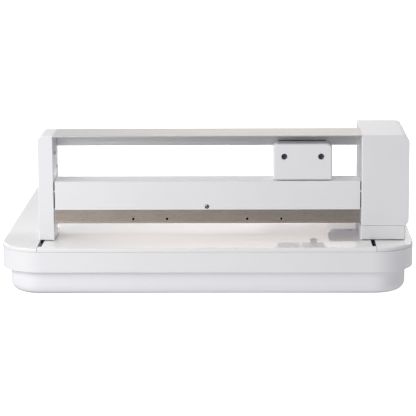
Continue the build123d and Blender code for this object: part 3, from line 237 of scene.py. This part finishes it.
for entry in frame["record"]["subparts"]:
    slots = frame["nodes"][entry["node"]].data.materials
    slots.clear()
    slots.append(looks[entry["material_slot"]])

# ==================================================================================================
# Fine pieces: each replaces, or sits in, a CAD node; most add fine shape the CAD leaves out, some near-black
# ones paint shade
# ==================================================================================================


def corners_of(node):
    """The low and high corners of a CAD node's box."""
    return tuple(Vector(corner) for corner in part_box(node))


def new_piece(name, bm, body, slot, mat=None, smooth=False):
    """Turn a bmesh into a piece that rides on a body and takes its finish from a slot."""
    bmesh.ops.recalc_face_normals(bm, faces=bm.faces)
    mesh = bpy.data.meshes.new(name)
    bm.to_mesh(mesh)
    bm.free()
    for face in mesh.polygons:
        face.use_smooth = smooth
    piece = bpy.data.objects.new(name, mesh)
    bpy.context.scene.collection.objects.link(piece)
    mesh.materials.append(mat or looks[slot])
    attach(piece, body)
    return piece


def round_edges(bm, edges, width_mm, segments=2):
    bmesh.ops.bevel(bm, geom=edges, offset=width_mm * MM, segments=segments, profile=0.5, affect="EDGES",
                    clamp_overlap=True)


def add_box(bm, size, centre):
    """Add a plain box; size and centre are in metres."""
    verts = bmesh.ops.create_cube(bm, size=1.0)["verts"]
    bmesh.ops.scale(bm, vec=size, verts=verts)
    bmesh.ops.translate(bm, vec=centre, verts=verts)


def turned(bm, profile, centre, turns=40):
    """Add a surface turned about the Y axis through centre; the profile holds (radius, y) in mm."""
    rings = []
    for k in range(turns):
        angle = 2 * math.pi * k / turns
        rings.append([bm.verts.new((centre[0] + r * MM * math.cos(angle), centre[1] + y * MM,
                                    centre[2] + r * MM * math.sin(angle))) for r, y in profile])
    for k in range(turns):
        ring, after = rings[k], rings[(k + 1) % turns]
        for i in range(len(profile)):
            j = (i + 1) % len(profile)
            bm.faces.new((ring[i], after[i], after[j], ring[j]))


BELT_THICKNESS = 1.2
BELT_PITCH = 2.0
TOOTH_HEIGHT = 0.6
# along one pitch, how far the inner face is cut back: a gap, then a tooth
GAP_AND_TOOTH = ((0.0, TOOTH_HEIGHT), (0.4, TOOTH_HEIGHT), (0.52, 0.0), (0.88, 0.0))


def toothed_belt(node, body, slot):
    """A belt loop along X with its teeth, inside the plain loop's thickness."""
    low, high = corners_of(node)
    outer_r = (high.z - low.z) / 2
    inner_r = outer_r - BELT_THICKNESS * MM
    middle_z = (high.z + low.z) / 2
    left, right = low.x + outer_r, high.x - outer_r
    run = right - left
    bend = math.pi * inner_r
    teeth = round(2 * (run + bend) / (BELT_PITCH * MM))
    step = 2 * (run + bend) / teeth

    def on_loop(s):
        """The point on the loop's inner face at distance s, and the direction out of the loop."""
        if s < run:
            return left + s, middle_z + inner_r, 0.0, 1.0
        if run + bend <= s < 2 * run + bend:
            return right - (s - run - bend), middle_z - inner_r, 0.0, -1.0
        if s < run + bend:
            turn_x, angle = right, math.pi / 2 - (s - run) / inner_r
        else:
            turn_x, angle = left, -math.pi / 2 - (s - 2 * run - bend) / inner_r
        out_x, out_z = math.cos(angle), math.sin(angle)
        return turn_x + inner_r * out_x, middle_z + inner_r * out_z, out_x, out_z

    bm = bmesh.new()
    sections = []
    for k in range(teeth):
        for part, cut in GAP_AND_TOOTH:
            x, z, out_x, out_z = on_loop((k + part) * step)
            faces_xz = [(x + out_x * depth * MM, z + out_z * depth * MM) for depth in (cut, BELT_THICKNESS)]
            sections.append([bm.verts.new((px, y, pz)) for px, pz in faces_xz for y in (low.y, high.y)])
    for k, (a, b, c, d) in enumerate(sections):
        e, f, g, h = sections[(k + 1) % len(sections)]
        for corners in ((a, b, f, e), (b, d, h, f), (d, c, g, h), (c, a, e, g)):
            bm.faces.new(corners)
    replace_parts(new_piece(node + "_toothed", bm, body, slot), node)


def softened(node, width_mm, body, slot):
    """A copy of a machined part whose sharp edges are broken by a narrow round."""
    bm = bmesh.new()
    bm.from_mesh(frame["nodes"][node].data)
    bmesh.ops.remove_doubles(bm, verts=bm.verts, dist=0.01 * MM)
    bmesh.ops.dissolve_limit(bm, angle_limit=math.radians(1), verts=bm.verts, edges=bm.edges)
    sharp = [e for e in bm.edges if len(e.link_faces) == 2 and e.calc_face_angle() > math.radians(40)]
    round_edges(bm, sharp, width_mm)
    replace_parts(new_piece(node + "_softened", bm, body, slot), node)


BORE_STEP = 0.9
BORE_DEPTH = 7.0


def socket_linings():
    """The carriage's two sockets: a pale rounded rim, and a dark bore that ends in a shallow cone."""
    low, high = corners_of("hoop_sockets")
    socket_r = (high.z - low.z) / 2
    back = (high.y - low.y) / MM - 0.4
    rim_r = socket_r / MM
    bore_r = rim_r - BORE_STEP
    rim = ((rim_r - 0.05, 0.6), (rim_r + 0.45, 0.02), (rim_r + 0.3, -0.16), (rim_r - 0.2, -0.2),
           (bore_r + 0.15, 0.0), (bore_r, 0.3), (bore_r, 2.2), (rim_r - 0.05, 2.2))
    bore = ((bore_r, 2.2), (bore_r - 0.35, 2.3), (bore_r - 0.35, BORE_DEPTH), (0.4, BORE_DEPTH + 1.0),
            (0.4, back), (rim_r - 0.05, back), (rim_r - 0.05, 2.2))
    rims = bmesh.new()
    bores = bmesh.new()
    for x in (low.x + socket_r, high.x - socket_r):
        at = (x, low.y, (low.z + high.z) / 2)
        turned(rims, rim, at)
        turned(bores, bore, at)
    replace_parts(new_piece("socket_rims", rims, "carriage", "carriage_plastic", smooth=True), "hoop_sockets")
    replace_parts(new_piece("socket_bores", bores, "carriage", "black_plastic", SOCKET_LILAC, True),
                "hoop_sockets")


STRIP_HOLES_X = (-107.0, -58.0, 58.0, 107.0)
STRIP_HOLE_Z = 104.0
STRIP_THICKNESS = 2.5
EYELET = ((1.92, 0.06), (1.95, -0.1), (2.1, -0.2), (2.3, -0.16), (2.45, 0.02))
# a near-black lip and cup lining each strip hole: painted shade for the hole's dark inside
HOLE_SHADE_CUP = ((0.1, 3.0), (1.2, 2.8), (1.38, 0.1), (1.5, -0.06), (1.88, -0.08), (1.9, 0.02), (1.46, 0.04),
          (1.46, 5.0), (0.1, 5.0))


def strip_holes():
    """The strip's four holes: a fine bright eyelet round a near-black lip and cup, painted shade for the
    hole's dark inside.
    """
    strip_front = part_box("crossbar_beam")[0][1] - STRIP_THICKNESS * MM
    eyelets = bmesh.new()
    hole_shades = bmesh.new()
    for x in STRIP_HOLES_X:
        at = (x * MM, strip_front, STRIP_HOLE_Z * MM)
        turned(eyelets, EYELET, at, 28)
        turned(hole_shades, HOLE_SHADE_CUP, at, 28)
    new_piece("strip_eyelets", eyelets, "bridge", "pulley_aluminium", smooth=True)
    new_piece("strip_hole_shades", hole_shades, "bridge", "black_plastic", PAINTED_SHADE_BLACK, True)


SCREW_DOME = ((0.02, -0.5), (0.9, -0.46), (1.8, -0.3), (2.6, 0.05), (3.1, 0.55), (3.3, 1.1), (1.5, 1.15),
              (1.5, 3.5), (0.02, 3.5))
CROSS_LENGTH = 3.4
CROSS_WIDTH = 0.8


def bar_screw():
    """The crossbar's screw: a polished domed head, with a thin black cross on it as painted shade for its
    cross recess.
    """
    low, high = corners_of("crossbar_screw")
    at = ((low.x + high.x) / 2, low.y, (low.z + high.z) / 2)
    dome = bmesh.new()
    turned(dome, SCREW_DOME, at)
    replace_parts(new_piece("bar_screw_dome", dome, "bridge", "screw_steel", POLISHED_SCREW, True),
                "crossbar_screw")
    # two thin black boxes on the head: painted shade standing in for the cross recess
    cross = bmesh.new()
    for width, height in ((CROSS_LENGTH, CROSS_WIDTH), (CROSS_WIDTH, CROSS_LENGTH)):
        add_box(cross, (width * MM, 0.9 * MM, height * MM), (at[0], at[1] - 0.02 * MM, at[2]))
    round_edges(cross, cross.edges[:], 0.12)
    new_piece("bar_screw_cross_shade", cross, "bridge", "black_plastic", PAINTED_SHADE_BLACK)


# width and depth of the dark strips that paint shade into the gaps at the crossbar's ends
GAP_SHADE_WIDTH = 1.5
GAP_SHADE_DEPTH = 2.4
TAB_Z = 144.6


def bar_end_gap_shades():
    """Dark strips, set back in the gaps at the crossbar's ends, above and below the cover's tabs: painted
    shade for those gaps.
    """
    low, high = corners_of("crossbar_cover")
    middle_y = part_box("crossbar_beam")[0][1] - 1.4 * MM
    gap_shades = bmesh.new()
    for x0, x1 in ((low.x, low.x + GAP_SHADE_WIDTH * MM), (high.x - GAP_SHADE_WIDTH * MM, high.x)):
        for z0, z1 in ((low.z + 2.2 * MM, (TAB_Z - 1.0) * MM), ((TAB_Z + 1.0) * MM, high.z - 1.6 * MM)):
            add_box(gap_shades, (x1 - x0, GAP_SHADE_DEPTH * MM, z1 - z0), ((x0 + x1) / 2, middle_y, (z0 + z1) / 2))
    round_edges(gap_shades, gap_shades.edges[:], 0.3)
    new_piece("bar_end_gap_shades", gap_shades, "bridge", "feet_rubber")


TONGUE_HEIGHT = 3.2
CONTACT_X = 1.25
CONTACT_Z = 1.68


def usb_inside():
    """The tongue and the four contacts inside the square socket at the back."""
    low, high = corners_of("usb_port")
    middle = Vector(((low.x + high.x) / 2, high.y, (low.z + high.z) / 2))
    tongue = bmesh.new()
    add_box(tongue, (5.6 * MM, 7.0 * MM, TONGUE_HEIGHT * MM), middle - Vector((0, 5.5 * MM, 0)))
    round_edges(tongue, tongue.edges[:], 0.4)
    new_piece("usb_tongue", tongue, "base", "black_plastic")
    contacts = bmesh.new()
    for x in (-CONTACT_X, CONTACT_X):
        for z in (-CONTACT_Z, CONTACT_Z):
            add_box(contacts, (1.0 * MM, 5.6 * MM, 0.24 * MM), middle + Vector((x * MM, -5.3 * MM, z * MM)))
    round_edges(contacts, contacts.edges[:], 0.07, segments=1)
    new_piece("usb_contacts", contacts, "base", "bush_brass")


toothed_belt("x_belt", "bridge", "belt_rubber")
for node in ("carriage_arm", "arm_bracket", "bush_block"):
    softened(node, 0.45, "carriage", "arm_metal")
softened("belt_clamp", 0.4, "carriage", "black_plastic")
softened("home_sensor", 0.35, "bridge", "black_plastic")
socket_linings()
strip_holes()
bar_screw()
bar_end_gap_shades()
usb_inside()

# ==================================================================================================
# Studio: floor, backdrop, lights and world
# ==================================================================================================


def flat_material(name, colour, glow):
    """A matt sheet that also glows white."""
    mat, tree, shader = new_material(name, colour, 0.9, specular=0.1)
    fibre = noise(tree, place(tree), 300.0)
    tree.links.new(tint(tree, fibre, scaled(colour, 0.995), colour), shader.inputs["Base Color"])
    shader.inputs["Emission Color"].default_value = (1.0, 1.0, 1.0, 1.0)
    shader.inputs["Emission Strength"].default_value = glow
    return mat


def sheet_object(name, corners, mat):
    """A flat sheet of the studio."""
    mesh = bpy.data.meshes.new(name)
    mesh.from_pydata(corners, [], [tuple(range(len(corners)))])
    sheet = bpy.data.objects.new(name, mesh)
    bpy.context.scene.collection.objects.link(sheet)
    mesh.materials.append(mat)
    return sheet


def warm_spot(mat, at, reach, colour, grey):
    """Makes a sheet's glow strongest and warm round one spot, and grey away from it."""
    tree = mat.node_tree
    mapping = tree.nodes.new("ShaderNodeMapping")
    mapping.inputs["Location"].default_value = [-c / reach for c in at]
    mapping.inputs["Scale"].default_value = (1 / reach,) * 3
    tree.links.new(tree.nodes.new("ShaderNodeTexCoord").outputs["Object"], mapping.inputs["Vector"])
    fade = tree.nodes.new("ShaderNodeTexGradient")
    fade.gradient_type = "SPHERICAL"
    tree.links.new(mapping.outputs["Vector"], fade.inputs["Vector"])
    ramp = tree.nodes.new("ShaderNodeValToRGB")
    ramp.color_ramp.interpolation = "EASE"
    ramp.color_ramp.elements[0].color = (grey, grey, grey, 1.0)
    ramp.color_ramp.elements[1].position = 0.75
    ramp.color_ramp.elements[1].color = (*colour, 1.0)
    tree.links.new(fade.outputs["Fac"], ramp.inputs["Fac"])
    tree.links.new(ramp.outputs["Color"], tree.nodes["Principled BSDF"].inputs["Emission Color"])


FLOOR_HALF = 9.0
FLOOR_GLOW = 0.95
BACKDROP_Y = 5.0
BACKDROP_TOP = 4.0
BACKDROP_GLOW = 0.92
# the floor is seen by the camera only: floor_bounce does its lighting
floor = sheet_object("floor", [(-FLOOR_HALF, -FLOOR_HALF, 0), (FLOOR_HALF, -FLOOR_HALF, 0),
                               (FLOOR_HALF, FLOOR_HALF, 0), (-FLOOR_HALF, FLOOR_HALF, 0)],
                     flat_material("floor_white", (0.92, 0.92, 0.92), FLOOR_GLOW))
floor.visible_diffuse = False
floor.visible_glossy = False
backdrop_mat = flat_material("backdrop_white", (0.9, 0.9, 0.9), BACKDROP_GLOW)
warm_spot(backdrop_mat, (0.05, BACKDROP_Y, 1.17), 1.0, (1.0, 0.91, 0.855), 0.52)
sheet_object("backdrop", [(-FLOOR_HALF, BACKDROP_Y, 0), (FLOOR_HALF, BACKDROP_Y, 0),
                          (FLOOR_HALF, BACKDROP_Y, BACKDROP_TOP), (-FLOOR_HALF, BACKDROP_Y, BACKDROP_TOP)],
             backdrop_mat)


def soft_light(name, at, width, height, watts, colour=(1.0, 1.0, 1.0), aim=CENTRE):
    """A soft box that faces the object. The camera doesn't see the box itself."""
    lamp = bpy.data.lights.new(name, "AREA")
    lamp.shape = "RECTANGLE"
    lamp.size = width
    lamp.size_y = height
    lamp.energy = watts
    lamp.color = colour
    holder = bpy.data.objects.new(name, lamp)
    bpy.context.scene.collection.objects.link(holder)
    holder.visible_camera = False
    holder.location = at
    holder.rotation_mode = "QUATERNION"
    holder.rotation_quaternion = (Vector(aim) - Vector(at)).to_track_quat("-Z", "Y")
    return holder


soft_light("front_left_box", (-1.0, -1.2, 0.7), 1.0, 0.9, 13.3, (0.99, 1.0, 0.985))
soft_light("front_fill", (-0.8, -3.2, 0.9), 1.4, 1.2, 10.5, (0.975, 0.98, 1.0))
soft_light("top_right_box", (0.9, 0.1, 2.2), 1.4, 2.0, 19.0, (1.0, 0.98, 0.975))
soft_light("right_back_box", (1.9, 1.3, 0.8), 1.2, 1.0, 12.0)
soft_light("left_back_box", (-1.9, 1.5, 0.8), 1.2, 1.0, 31.0, (0.95, 0.92, 1.0))
# a narrow beam onto the left leg's inner side, past the right tower's back
LEG_INNER_SIDE = (-0.222, -0.2, 0.155)
leg_light = soft_light("inner_leg_light", (1.9, 0.95, 0.40), 0.2, 0.2, 0.08, aim=LEG_INNER_SIDE)
leg_light.data.spread = math.radians(10)
# the light that the floor would throw up
UPWARDS = (0.0, 0.0, 1.0)
bounce = soft_light("floor_bounce", (0.0, 0.0, 0.0005), 4.0, 4.0, 26.5, (0.985, 0.975, 1.0), UPWARDS)
bounce.visible_glossy = False

ROOM_GREY = 0.207
ROOM_TINT = (0.98, 0.975, 1.0, 1.0)
world = bpy.data.worlds.new("studio")
world.use_nodes = True
world.node_tree.nodes["Background"].inputs["Color"].default_value = ROOM_TINT
world.node_tree.nodes["Background"].inputs["Strength"].default_value = ROOM_GREY
bpy.context.scene.world = world

# ==================================================================================================
# Camera
# ==================================================================================================

CAMERA_RIGHT = 0.076
CAMERA_DISTANCE = 2.711
CAMERA_HEIGHT = 0.645
CAMERA_YAW = 1.545
CAMERA_PITCH = 10.74
CAMERA_ROLL = -0.40
CAMERA_LENS = 168.8
CAMERA_SENSOR = 36.0
camera = bpy.data.cameras.new("camera")
camera.lens = CAMERA_LENS
camera.sensor_width = CAMERA_SENSOR
camera.clip_start = 0.1
camera.clip_end = 50.0
eye = bpy.data.objects.new("camera", camera)
bpy.context.scene.collection.objects.link(eye)
turn = (Matrix.Rotation(math.radians(CAMERA_YAW), 4, "Z")
        @ Matrix.Rotation(math.radians(90 - CAMERA_PITCH), 4, "X")
        @ Matrix.Rotation(math.radians(CAMERA_ROLL), 4, "Z"))
eye.matrix_world = Matrix.Translation((CAMERA_RIGHT, BOX_LOW.y - CAMERA_DISTANCE, CAMERA_HEIGHT)) @ turn
bpy.context.scene.camera = eye
bpy.context.scene.view_settings.view_transform = "Standard"
